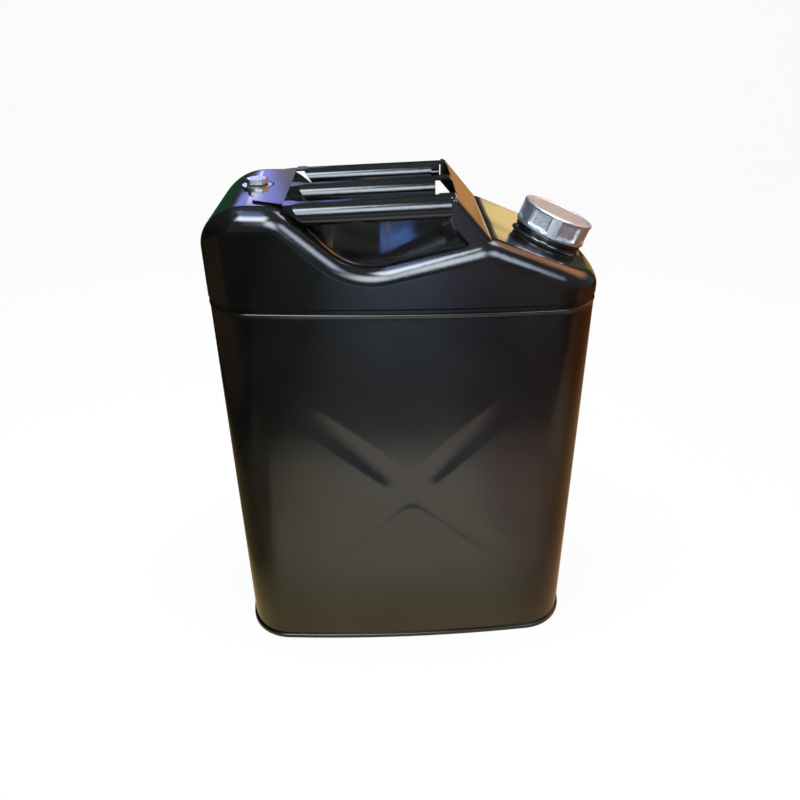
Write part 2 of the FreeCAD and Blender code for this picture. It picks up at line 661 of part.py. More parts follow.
def make_vent_screw():
    """The hexagon screw, with the corners of its head turned off."""
    corner = VENT_FLATS / math.cos(math.radians(30)) / 2
    hexagon = []
    for index in range(6):
        out_x, out_y = direction(60 * index)
        hexagon.append((corner * out_x, corner * out_y, 0))
    head = Part.Face(rounded_wire(hexagon, lying_flat(0))).extrude(Vector(0, 0, VENT_HEAD))
    dome = turned([(0, 0, 0), (corner, 0, 0), (corner, VENT_HEAD - VENT_HEAD_CHAMFER, 0),
                   (corner - VENT_CORNER_TURNING, VENT_HEAD, 0), (0, VENT_HEAD, 0)])
    shank = Part.makeCylinder(VENT_SHANK_RADIUS, VENT_LENGTH, Vector(0, 0, -VENT_LENGTH))
    screw = head.common(dome).fuse(shank)
    screw.translate(Vector(VENT_X, 0, SHOULDER_HEIGHT + WASHER_THICKNESS + SEAL_THICKNESS + SEAT_CLEARANCE))
    return screw


PIECES = {
    "body_wall": make_body_wall,
    "base_pan": make_base_pan,
    "top_shell": make_top_shell,
    "handle_plate": make_handle_plate,
    "filler_neck": make_filler_neck,
    "screw_cap": make_screw_cap,
    "cap_gasket": make_cap_gasket,
    "vent_bush": make_vent_bush,
    "vent_seal": make_vent_seal,
    "vent_washer": make_vent_washer,
    "vent_screw": make_vent_screw,
}

os.makedirs("parts", exist_ok=True)
for name, make in PIECES.items():
    shape = make()
    solids = shape.Solids
    box = shape.BoundBox
    print(name, "solids", len(solids), "valid", shape.isValid(), "volume", round(shape.Volume),
          "x", round(box.XMin, 1), round(box.XMax, 1), "y", round(box.YMin, 1), round(box.YMax, 1),
          "z", round(box.ZMin, 1), round(box.ZMax, 1))
    shape = solids[0] if len(solids) == 1 else Part.makeCompound(solids)
    shape.exportStep(os.path.join("parts", name + ".step"))
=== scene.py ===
"""Looks of a steel fuel can for twenty litres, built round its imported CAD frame."""

import json
import logging
import math
from dataclasses import dataclass, field
from enum import Enum
from typing import Sequence

import bpy
import numpy as np
from mathutils import Matrix, Vector

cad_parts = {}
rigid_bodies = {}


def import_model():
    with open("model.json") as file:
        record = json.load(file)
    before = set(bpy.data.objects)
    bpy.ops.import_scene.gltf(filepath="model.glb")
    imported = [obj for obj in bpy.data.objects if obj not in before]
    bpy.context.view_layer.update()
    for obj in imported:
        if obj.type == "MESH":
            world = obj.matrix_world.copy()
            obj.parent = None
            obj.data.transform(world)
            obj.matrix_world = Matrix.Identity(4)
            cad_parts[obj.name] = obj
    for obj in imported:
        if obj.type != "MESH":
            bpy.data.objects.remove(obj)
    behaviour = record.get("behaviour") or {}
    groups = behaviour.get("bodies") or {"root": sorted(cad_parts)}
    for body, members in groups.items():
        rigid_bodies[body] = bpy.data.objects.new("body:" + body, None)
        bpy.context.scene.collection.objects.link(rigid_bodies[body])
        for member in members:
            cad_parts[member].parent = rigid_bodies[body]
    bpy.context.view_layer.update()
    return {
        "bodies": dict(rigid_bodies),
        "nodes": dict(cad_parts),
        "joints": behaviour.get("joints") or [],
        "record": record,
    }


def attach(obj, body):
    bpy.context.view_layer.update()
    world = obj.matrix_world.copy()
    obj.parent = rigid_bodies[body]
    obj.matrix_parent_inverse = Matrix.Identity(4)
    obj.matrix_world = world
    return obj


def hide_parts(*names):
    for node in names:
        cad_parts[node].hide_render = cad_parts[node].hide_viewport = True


logging.basicConfig(level=logging.INFO, format="%(message)s")
LOG = logging.getLogger("fuel_can")

MM = 0.001


def linear(code: str) -> tuple[float, float, float, float]:
    """Turn an sRGB hex colour into linear red, green, blue and alpha.

    Args:
        code: the colour as six hex digits after a hash sign.

    Returns:
        The linear colour, fully opaque.
    """
    parts = [int(code[i:i + 2], 16) / 255 for i in (1, 3, 5)]
    return tuple([c / 12.92 if c <= 0.04045 else ((c + 0.055) / 1.055) ** 2.4 for c in parts]
                 + [1.0])


def add(tree: bpy.types.NodeTree, kind: str, links: dict | None = None,
        **settings) -> bpy.types.Node:
    """Add a node with its settings, socket values and links.

    Args:
        tree: the tree that gets the node.
        kind: the node's type name.
        links: sockets of the new node, by name or number, each with what feeds it: another
            node's output socket, or a plain value.
        settings: properties of the node.

    Returns:
        The new node.
    """
    node = tree.nodes.new(kind)
    for name, value in settings.items():
        setattr(node, name, value)
    for name, source in (links or {}).items():
        socket = node.inputs[name]
        if isinstance(source, bpy.types.NodeSocket):
            tree.links.new(source, socket)
        else:
            socket.default_value = source
    return node


def new_material(name: str) -> tuple[bpy.types.Material, bpy.types.NodeTree]:
    """Start a material with an empty tree.

    Args:
        name: the material's name.

    Returns:
        The material and its tree.
    """
    material = bpy.data.materials.new(name)
    material.use_nodes = True
    material.node_tree.nodes.clear()
    return material, material.node_tree


def new_object(name: str, data: bpy.types.ID) -> bpy.types.Object:
    """Make an object and link it to the scene.

    Args:
        name: the object's name.
        data: its mesh, light or camera.

    Returns:
        The object, at the origin.
    """
    made = bpy.data.objects.new(name, data)
    bpy.context.scene.collection.objects.link(made)
    return made


class Slot(Enum):
    """The record's material slots."""

    BLACK_ENAMEL = "black_enamel"
    NECK_ENAMEL = "neck_enamel"
    CAST_ALUMINIUM = "cast_aluminium"
    PLATED_STEEL = "plated_steel"
    BLACK_RUBBER = "black_rubber"


@dataclass(frozen=True)
class BlackEnamel:
    """Stoved black gloss enamel, sprayed on drawn sheet steel.

    The eye gets a deep black with clear reflections that swim a little, because the sheet is
    never quite flat, a fine orange peel in the highlights, and a faint film of dust.
    """

    name: str = "stoved_black_enamel"
    colour: str = "#161718"
    dust: str = "#24241F"
    roughness: float = 0.1
    dust_roughness: float = 0.06
    ior: float = 1.6
    sheet_wave_mm: float = 85.0
    sheet_wave_height_mm: float = 0.5
    peel_mm: float = 3.5
    peel_height_mm: float = 0.006
    film_mm: float = 60.0
    film_span: tuple[float, float] = (0.4, 0.75)

    def build(self) -> bpy.types.Material:
        """Make the material.

        Returns:
            The enamel, ready to put on a piece.
        """
        material, tree = new_material(self.name)
        place = add(tree, "ShaderNodeTexCoord").outputs["Object"]
        wave = add(tree, "ShaderNodeTexNoise", {
            "Vector": place, "Scale": 1 / (self.sheet_wave_mm * MM), "Detail": 1.5, "Roughness": 0.35})
        peel = add(tree, "ShaderNodeTexNoise", {
            "Vector": place, "Scale": 1 / (self.peel_mm * MM), "Detail": 1.0, "Roughness": 0.5})
        broad = add(tree, "ShaderNodeBump", {
            "Height": wave.outputs["Fac"], "Strength": 1.0, "Distance": self.sheet_wave_height_mm * MM})
        fine = add(tree, "ShaderNodeBump", {
            "Height": peel.outputs["Fac"], "Strength": 1.0, "Distance": self.peel_height_mm * MM,
            "Normal": broad.outputs["Normal"]})
        film = add(tree, "ShaderNodeTexNoise", {
            "Vector": place, "Scale": 1 / (self.film_mm * MM), "Detail": 6.0, "Roughness": 0.6})
        amount = add(tree, "ShaderNodeMapRange", {
            "Value": film.outputs["Fac"], "From Min": self.film_span[0], "From Max": self.film_span[1],
            "To Min": 0.0, "To Max": 1.0})
        tone = add(tree, "ShaderNodeMix", {
            "Factor": amount.outputs["Result"], "A": linear(self.colour), "B": linear(self.dust)},
            data_type="RGBA")
        haze = add(tree, "ShaderNodeMapRange", {
            "Value": amount.outputs["Result"], "To Min": self.roughness,
            "To Max": self.roughness + self.dust_roughness})
        shader = add(tree, "ShaderNodeBsdfPrincipled", {
            "Base Color": tone.outputs["Result"], "Roughness": haze.outputs["Result"],
            "IOR": self.ior, "Normal": fine.outputs["Normal"]})
        add(tree, "ShaderNodeOutputMaterial", {"Surface": shader.outputs["BSDF"]})
        return material


@dataclass(frozen=True)
class Metal:
    """Bare or plated metal: bright, with a grain in its roughness and a shallow relief.

    The grain is drawn coarser than the real one, so that it shows.
    """

    name: str
    colour: str
    dark: str
    roughness: float
    roughness_spread: float
    grain_mm: float
    relief_mm: float
    grain_span: tuple[float, float] = (0.3, 0.7)

    def build(self) -> bpy.types.Material:
        """Make the material.

        Returns:
            The metal, ready to put on a piece.
        """
        material, tree = new_material(self.name)
        place = add(tree, "ShaderNodeTexCoord").outputs["Object"]
        grain = add(tree, "ShaderNodeTexNoise", {
            "Vector": place, "Scale": 1 / (self.grain_mm * MM), "Detail": 5.0, "Roughness": 0.65})
        tone = add(tree, "ShaderNodeMix", {
            "Factor": grain.outputs["Fac"], "A": linear(self.dark), "B": linear(self.colour)},
            data_type="RGBA")
        rough = add(tree, "ShaderNodeMapRange", {
            "Value": grain.outputs["Fac"], "From Min": self.grain_span[0], "From Max": self.grain_span[1],
            "To Min": self.roughness - self.roughness_spread,
            "To Max": self.roughness + self.roughness_spread})
        relief = add(tree, "ShaderNodeBump", {
            "Height": grain.outputs["Fac"], "Distance": self.relief_mm * MM})
        shader = add(tree, "ShaderNodeBsdfPrincipled", {
            "Base Color": tone.outputs["Result"], "Metallic": 1.0,
            "Roughness": rough.outputs["Result"], "Normal": relief.outputs["Normal"]})
        add(tree, "ShaderNodeOutputMaterial", {"Surface": shader.outputs["BSDF"]})
        return material


@dataclass(frozen=True)
class Rubber:
    """Moulded black nitrile rubber: matt, a little grey where it is rubbed.

    The grain is drawn coarser than the real one, so that it shows.
    """

    name: str = "moulded_nitrile_rubber"
    colour: str = "#161616"
    rubbed: str = "#2A2A29"
    roughness: float = 0.7
    grain_mm: float = 1.5
    relief_mm: float = 0.05

    def build(self) -> bpy.types.Material:
        """Make the material.

        Returns:
            The rubber, ready to put on a piece.
        """
        material, tree = new_material(self.name)
        place = add(tree, "ShaderNodeTexCoord").outputs["Object"]
        grain = add(tree, "ShaderNodeTexNoise", {
            "Vector": place, "Scale": 1 / (self.grain_mm * MM), "Detail": 4.0})
        tone = add(tree, "ShaderNodeMix", {
            "Factor": grain.outputs["Fac"], "A": linear(self.colour), "B": linear(self.rubbed)},
            data_type="RGBA")
        relief = add(tree, "ShaderNodeBump", {
            "Height": grain.outputs["Fac"], "Distance": self.relief_mm * MM})
        shader = add(tree, "ShaderNodeBsdfPrincipled", {
            "Base Color": tone.outputs["Result"], "Roughness": self.roughness,
            "Normal": relief.outputs["Normal"]})
        add(tree, "ShaderNodeOutputMaterial", {"Surface": shader.outputs["BSDF"]})
        return material


def dress(piece: bpy.types.Object, material: bpy.types.Material) -> None:
    """Give a piece one material in place of any it has."""
    piece.data.materials.clear()
    piece.data.materials.append(material)


class Grid(Enum):
    """Whether a grid of points has open ends or closes on itself both ways."""

    OPEN = 0
    CLOSED = 1


def grid_faces(rows: int, columns: int, grid: Grid) -> list[tuple[int, int, int, int]]:
    """Join a grid of points into quads, row by row.

    Args:
        rows: how many rows of points.
        columns: how many points in each row.
        grid: whether each row closes on itself and the last row joins the first.

    Returns:
        The quads, turned outwards where rows go up and columns go anticlockwise.
    """
    last = 0 if grid is Grid.CLOSED else 1
    faces = []
    for r in range(rows - last):
        above = (r + 1) % rows
        for c in range(columns - last):
            beside = (c + 1) % columns
            faces.append((r * columns + c, r * columns + beside,
                          above * columns + beside, above * columns + c))
    return faces


def new_piece(name: str, points_mm: np.ndarray, faces: Sequence[Sequence[int]],
              smooth_angle: float = 35.0) -> bpy.types.Object:
    """Make a mesh piece at the origin, with its place in its mesh.

    Args:
        name: the piece's name.
        points_mm: its points, one row each, in millimetres.
        faces: its faces as indices of points.
        smooth_angle: edges that turn by less than this, in degrees, are shaded smooth.

    Returns:
        The piece, linked to the scene.
    """
    mesh = bpy.data.meshes.new(name)
    mesh.from_pydata([tuple(p) for p in np.asarray(points_mm) * MM], [],
                     [tuple(f) for f in faces])
    mesh.update()
    mesh.shade_smooth()
    mesh.set_sharp_from_angle(angle=math.radians(smooth_angle))
    return new_object(name, mesh)


def smooth_step(value: np.ndarray | float, low: float, high: float) -> np.ndarray:
    """Rise from 0 at low to 1 at high, with level ends."""
    t = np.clip((np.asarray(value, float) - low) / (high - low), 0.0, 1.0)
    return t * t * (3.0 - 2.0 * t)


def lathe_row(reach: np.ndarray, angles: np.ndarray, z: float) -> np.ndarray:
    """Set points round the Z axis, each at its reach and angle, all at one height."""
    return np.column_stack([reach * np.cos(angles), reach * np.sin(angles),
                            np.full(len(angles), z)])


def new_group(name: str, inputs: dict[str, str]) -> tuple[bpy.types.NodeTree, bpy.types.Node]:
    """Start a geometry node tree.

    Args:
        name: the tree's name.
        inputs: each input's name and socket type, after the geometry.

    Returns:
        The tree and its input node.
    """
    tree = bpy.data.node_groups.new(name, "GeometryNodeTree")
    for label, kind in {"Geometry": "NodeSocketGeometry", **inputs}.items():
        tree.interface.new_socket(name=label, in_out="INPUT", socket_type=kind)
    tree.interface.new_socket(name="Geometry", in_out="OUTPUT", socket_type="NodeSocketGeometry")
    return tree, add(tree, "NodeGroupInput")


def run_group(piece: bpy.types.Object, tree: bpy.types.NodeTree, values: dict) -> None:
    """Run a geometry node tree on a piece and keep its result as plain mesh.

    Args:
        piece: the object that the tree starts from, which gets the result as its mesh.
        tree: the tree.
        values: what each named input gets.
    """
    modifier = piece.modifiers.new(tree.name, "NODES")
    modifier.node_group = tree
    for item in tree.interface.items_tree:
        if item.in_out == "INPUT" and item.name in values:
            modifier[item.identifier] = values[item.name]
    piece.update_tag()
    view = bpy.context.evaluated_depsgraph_get()
    mesh = bpy.data.meshes.new_from_object(piece.evaluated_get(view),
                                           preserve_all_data_layers=True, depsgraph=view)
    piece.modifiers.clear()
    old = piece.data
    piece.data = mesh
    bpy.data.meshes.remove(old)
    mesh.name = piece.name


@dataclass
class BodyWall:
    """The wrapped wall with its pressed cross, rolled top edge and foot, in millimetres.

    The cross is given by its middle, the lean of its two bars in degrees, and the bars' half
    width, soft edge and rounded crotch. The fades say how far out from the middle a bar starts
    to run out and where it is gone, and the fullness how flat its bottom is. The cross keeps to
    the wide faces, where the outline's normal is within the given span of straight out.
    """

    width: float = 345.0
    depth: float = 165.0
    corner_radius: float = 44.5
    face_crown: float = 5.2
    side_crown: float = 2.8
    foot: float = 1.0
    seam: float = 376.0
    sheet: float = 1.0
    edge_radius: float = 1.5
    edge_flare: float = 0.9
    edge_lip: float = 0.3
    flare_height: float = 4.5
    cross_x: float = 3.0
    cross_z: float = 195.5
    cross_angles: tuple[float, float] = (45.0, -41.5)
    cross_half_width: float = 14.0
    cross_edge: float = 2.6
    cross_crotch: float = 17.0
    cross_fade_start: float = 66.0
    cross_fade_end: float = 150.0
    cross_depth: float = 1.3
    cross_fullness: float = 2.5
    face_normal_span: tuple[float, float] = (0.97, 0.99)
    face_columns: int = 150
    corner_columns: int = 18
    side_columns: int = 24
    rows: int = 150
    near_edge_rows: int = 4
    near_edge_start: float = 0.4
    edge_rows: int = 6
    inner_rows: int = 60
    smooth_angle: float = 60.0

    def corner_centre(self, face_radius: float, side_radius: float) -> np.ndarray:
        """Find the centre of the corner's arc, which touches the face's and the side's arcs.

        Args:
            face_radius: the radius of the wide face's arc, centred on the Y axis.
            side_radius: the radius of the narrow side's arc, centred on the X axis.

        Returns:
            The centre, in the quarter with positive X and Y.
        """
        face_centre = np.array([0.0, self.depth / 2 - face_radius])
        side_centre = np.array([self.width / 2 - side_radius, 0.0])
        face_reach = face_radius - self.corner_radius
        side_reach = side_radius - self.corner_radius
        between = side_centre - face_centre
        distance = float(np.hypot(*between))
        along = (face_reach ** 2 - side_reach ** 2 + distance ** 2) / (2 * distance)
        across = math.sqrt(face_reach ** 2 - along ** 2)
        step = between / distance
        aside = np.array([-step[1], step[0]])
        choices = [face_centre + step * along + aside * sign * across for sign in (1, -1)]
        return max(choices, key=lambda point: point[0] + point[1])

    def quarter(self) -> tuple[np.ndarray, np.ndarray]:
        """Draw a quarter of the plan outline, from the +X side's middle to the +Y face's.

        Returns:
            Points and outward normals, one row each.
        """
        half_width, half_depth = self.width / 2, self.depth / 2
        face_radius = (((half_width - self.corner_radius) ** 2 + self.face_crown ** 2)
                       / (2 * self.face_crown))
        side_radius = (((half_depth - self.corner_radius) ** 2 + self.side_crown ** 2)
                       / (2 * self.side_crown))
        face_centre = np.array([0.0, half_depth - face_radius])
        side_centre = np.array([half_width - side_radius, 0.0])
        corner = self.corner_centre(face_radius, side_radius)
        side_end = math.atan2(*(corner - side_centre)[::-1])
        face_end = math.atan2(*(corner - face_centre)[::-1])
        arcs = [
            (side_centre, side_radius, np.linspace(0, side_end, self.side_columns // 2 + 1)),
            (corner, self.corner_radius,
             np.linspace(side_end, face_end, self.corner_columns + 1)),
            (face_centre, face_radius,
             np.linspace(face_end, math.pi / 2, self.face_columns // 2 + 1))]
        points, normals = [], []
        for centre, radius, angles in arcs:
            for angle in angles[:-1]:
                normal = np.array([math.cos(angle), math.sin(angle)])
                points.append(centre + normal * radius)
                normals.append(normal)
        points.append(np.array([0.0, half_depth]))
        normals.append(np.array([0.0, 1.0]))
        return np.array(points), np.array(normals)

    def outline(self) -> tuple[np.ndarray, np.ndarray]:
        """Work out the plan outline, anticlockwise from the middle of the +X side.

        Returns:
            Points and outward normals, one row each.
        """
        points, normals = self.quarter()
        rounds, round_normals = [], []
        for sign_x, sign_y in ((1, 1), (-1, 1), (-1, -1), (1, -1)):
            flip = np.array([sign_x, sign_y])
            order = slice(None, -1) if sign_x * sign_y > 0 else slice(None, 0, -1)
            rounds.append((points * flip)[order])
            round_normals.append((normals * flip)[order])
        return np.concatenate(rounds), np.concatenate(round_normals)

    def cross(self, x: np.ndarray, z: np.ndarray) -> np.ndarray:
        """Say how deep the pressed cross is on a wide face.

        Each arm is a round-bottomed trough with a soft edge, and a rounded crotch joins it to
        the next.

        Args:
            x: places along the can's width.
            z: their heights.

        Returns:
            The depth at each place, 0 off the cross.
        """
        edges, fades = [], []
        for angle in self.cross_angles:
            out_x, out_z = math.cos(math.radians(angle)), math.sin(math.radians(angle))
            along = (x - self.cross_x) * out_x + (z - self.cross_z) * out_z
            across = (z - self.cross_z) * out_x - (x - self.cross_x) * out_z
            edges.append(self.cross_half_width - np.abs(across))
            fades.append(1.0 - smooth_step(np.abs(along), self.cross_fade_start,
                                           self.cross_fade_end))
        blend = np.clip(0.5 + 0.5 * (edges[0] - edges[1]) / self.cross_crotch, 0.0, 1.0)
        inside = (edges[1] * (1 - blend) + edges[0] * blend
                  + self.cross_crotch * blend * (1 - blend))
        fade = fades[1] * (1 - blend) + fades[0] * blend
        soft = np.where(inside > self.cross_edge, inside - self.cross_edge / 2,
                        np.maximum(inside, 0.0) ** 2 / (2 * self.cross_edge))
        share = np.clip(soft / (self.cross_half_width - self.cross_edge / 2), 0.0, 1.0)
        return self.cross_depth * fade * (1.0 - (1.0 - share) ** self.cross_fullness)

    def section(self) -> list[tuple[float, float]]:
        """Draw the wall's section: up the outside, over the rolled edge and down the inside.

        Returns:
            Each row's distance out from the outline, and its height.
        """
        heights = np.linspace(self.foot, self.seam - self.edge_radius, self.rows)
        shares = np.linspace(self.near_edge_start, 1, self.near_edge_rows)
        near_edge = heights[-2] + (heights[-1] - heights[-2]) * shares
        rows = [(0.0, z) for z in (*heights[:-1], *near_edge)]
        rows += [(-self.edge_radius * (1 - math.cos(a)),
                  self.seam - self.edge_radius * (1 - math.sin(a)))
                 for a in np.linspace(0, math.pi / 2, self.edge_rows)[1:]]
        rows.append((-self.edge_radius - self.edge_lip, self.seam - self.edge_lip))
        rows += [(-self.sheet, z) for z in np.linspace(self.seam - self.flare_height, self.foot,
                                                       self.inner_rows)]
        return rows

    def build(self, finish: bpy.types.Material) -> bpy.types.Object:
        """Build the wall as one closed skin.

        Args:
            finish: the enamel on the wall.

        Returns:
            The piece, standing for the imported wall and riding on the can.
        """
        points, normals = self.outline()
        on_face = smooth_step(np.abs(normals[:, 1]), *self.face_normal_span)
        rows = []
        for offset, z in self.section():
            level = np.full(len(points), z)
            stand = np.full(len(points), offset)
            stand += self.edge_flare * smooth_step(z, self.seam - self.flare_height, self.seam)
            if offset in (0.0, -self.sheet):
                stand -= on_face * self.cross(points[:, 0], level)
            rows.append(np.column_stack([points + normals * stand[:, None], level]))
        faces = grid_faces(len(rows), len(points), Grid.CLOSED)
        wall = new_piece("pressed_body_wall", np.concatenate(rows), faces, self.smooth_angle)
        dress(wall, finish)
        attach(wall, "can")
        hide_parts("body_wall")
        return wall


@dataclass
class WallWeld:
    """The run of weld down the narrow side away from the neck, in millimetres.

    Each drop is at least this share of its full height, width and pitch, and leans on the one
    before it by this many degrees.
    """

    side_x: float = -172.5
    low: float = 6.0
    high: float = 362.0
    pitch: float = 2.3
    half_width: float = 2.9
    half_height: float = 0.75
    least_share: tuple[float, float, float] = (0.85, 0.88, 0.85)
    lean: float = 12.0
    drop_columns: int = 14
    drop_rings: int = 8
    seed: int = 7

    def build(self, finish: bpy.types.Material) -> bpy.types.Object:
        """Lay one flattened drop of metal after another along the seam.

        Args:
            finish: the enamel over the weld.

        Returns:
            The piece, riding on the can.
        """
        full = [size * MM for size in (self.half_height, self.half_width, self.pitch)]
        least = [size * share for size, share in zip(full, self.least_share)]
        tree, start = new_group("weld_run", {
            "Count": "NodeSocketInt", "Pitch": "NodeSocketFloat", "Seed": "NodeSocketInt",
            "Finish": "NodeSocketMaterial"})
        step = add(tree, "ShaderNodeCombineXYZ", {"Z": start.outputs["Pitch"]})
        line = add(tree, "GeometryNodeMeshLine", {
            "Count": start.outputs["Count"],
            "Start Location": (self.side_x * MM, 0.0, self.low * MM), "Offset": step.outputs[0]})
        drop = add(tree, "GeometryNodeMeshUVSphere", {
            "Segments": self.drop_columns, "Rings": self.drop_rings, "Radius": 1.0})
        size = add(tree, "FunctionNodeRandomValue", {
            0: least, 1: full, "Seed": start.outputs["Seed"]}, data_type="FLOAT_VECTOR")
        lean = add(tree, "ShaderNodeCombineXYZ", {"Y": math.radians(self.lean)})
        drops = add(tree, "GeometryNodeInstanceOnPoints", {
            "Points": line.outputs[0], "Instance": drop.outputs[0], "Scale": size.outputs[0],
            "Rotation": lean.outputs[0]})
        solid = add(tree, "GeometryNodeRealizeInstances", {0: drops.outputs[0]})
        soft = add(tree, "GeometryNodeSetShadeSmooth", {0: solid.outputs[0]})
        dressed = add(tree, "GeometryNodeSetMaterial", {
            "Geometry": soft.outputs[0], "Material": start.outputs["Finish"]})
        add(tree, "NodeGroupOutput", {0: dressed.outputs[0]})
        piece = new_piece("wall_weld_run", np.zeros((1, 3)), [])
        run_group(piece, tree, {"Count": int((self.high - self.low) / self.pitch),
                                "Pitch": self.pitch * MM, "Seed": self.seed, "Finish": finish})
        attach(piece, "can")
        return piece


@dataclass
class NeckFrame:
    """Where the neck stands, in millimetres, as the record's joint of the cap says."""

    foot: Vector
    axis: Vector

    @classmethod
    def read(cls, frame: dict) -> "NeckFrame":
        """Take the neck's foot and axis from the cap's joint.

        Args:
            frame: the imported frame.

        Returns:
            The neck's place.
        """
        joints = frame["record"]["behaviour"]["joints"]
        joint = next(row for row in joints if row["name"] == "cap_turn")
        return cls(Vector(joint["pos_m"]) / MM, Vector(joint["axis"]).normalized())

    def place(self, points: np.ndarray) -> np.ndarray:
        """Move points drawn round the Z axis onto the neck."""
        turn = np.array(Vector((0, 0, 1)).rotation_difference(self.axis).to_matrix())
        return points @ turn.T + np.array(self.foot)


@dataclass
class ThreadedNeck:
    """The neck that the cap screws onto, in millimetres above the spout face."""

    bore: float = 24.0
    barrel: float = 28.95
    thread: float = 27.0
    ring: float = 31.0
    low: float = -8.0
    ring_low: float = 4.05
    ring_high: float = 7.5
    ring_edge: float = 0.6
    ring_edge_share: float = 0.3
    top: float = 21.5
    chamfer: float = 1.0
    mouth_edge: float = 0.3
    pitch: float = 4.0
    thread_depth: float = 1.3
    thread_start: float = 9.0
    thread_run_in: tuple[float, float] = (-0.5, 1.0)
    thread_run_out: tuple[float, float] = (2.4, 1.2)
    groove_power: float = 1.5
    row_step: float = 0.4
    columns: int = 144
    smooth_angle: float = 40.0

    def section(self) -> list[tuple[float, float]]:
        """Draw the neck's section, without its thread, up the outside from the bore's foot.

        Returns:
            Radius and height of each row.
        """
        ring, low, high, edge = self.ring, self.ring_low, self.ring_high, self.ring_edge
        part = edge * self.ring_edge_share
        rows = [(self.bore, self.low), (self.barrel, self.low), (self.barrel, low),
                (ring - edge, low), (ring - part, low + part), (ring, low + edge),
                (ring, high - edge), (ring - part, high - part), (ring - edge, high),
                (self.thread, high)]
        rows += [(self.thread, z) for z in np.arange(self.thread_start - 1.0,
                                                     self.top - self.chamfer, self.row_step)]
        rows += [(self.thread, self.top - self.chamfer), (self.thread - self.chamfer, self.top),
                 (self.bore + self.mouth_edge, self.top), (self.bore, self.top - self.mouth_edge)]
        return rows

    def build(self, neck: NeckFrame, finish: bpy.types.Material) -> bpy.types.Object:
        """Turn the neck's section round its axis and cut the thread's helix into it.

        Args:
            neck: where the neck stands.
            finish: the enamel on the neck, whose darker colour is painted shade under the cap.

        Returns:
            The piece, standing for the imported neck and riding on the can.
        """
        angles = np.linspace(0, 2 * math.pi, self.columns, endpoint=False)
        first, full = (self.thread_start + step for step in self.thread_run_in)
        fading, last = (self.top - step for step in self.thread_run_out)
        rows = []
        for radius, z in self.section():
            winding = z / self.pitch - angles / (2 * math.pi)
            groove = 0.5 - 0.5 * np.cos(2 * math.pi * winding)
            cut = self.thread_depth * groove ** self.groove_power
            cut = cut * (radius == self.thread) * smooth_step(z, first, full)
            cut = cut * (1.0 - smooth_step(z, fading, last))
            rows.append(lathe_row(radius - cut, angles, z))
        faces = grid_faces(len(rows), self.columns, Grid.CLOSED)
        piece = new_piece("threaded_neck", neck.place(np.concatenate(rows)), faces,
                          self.smooth_angle)
        dress(piece, finish)
        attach(piece, "can")
        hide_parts("filler_neck")
        return piece


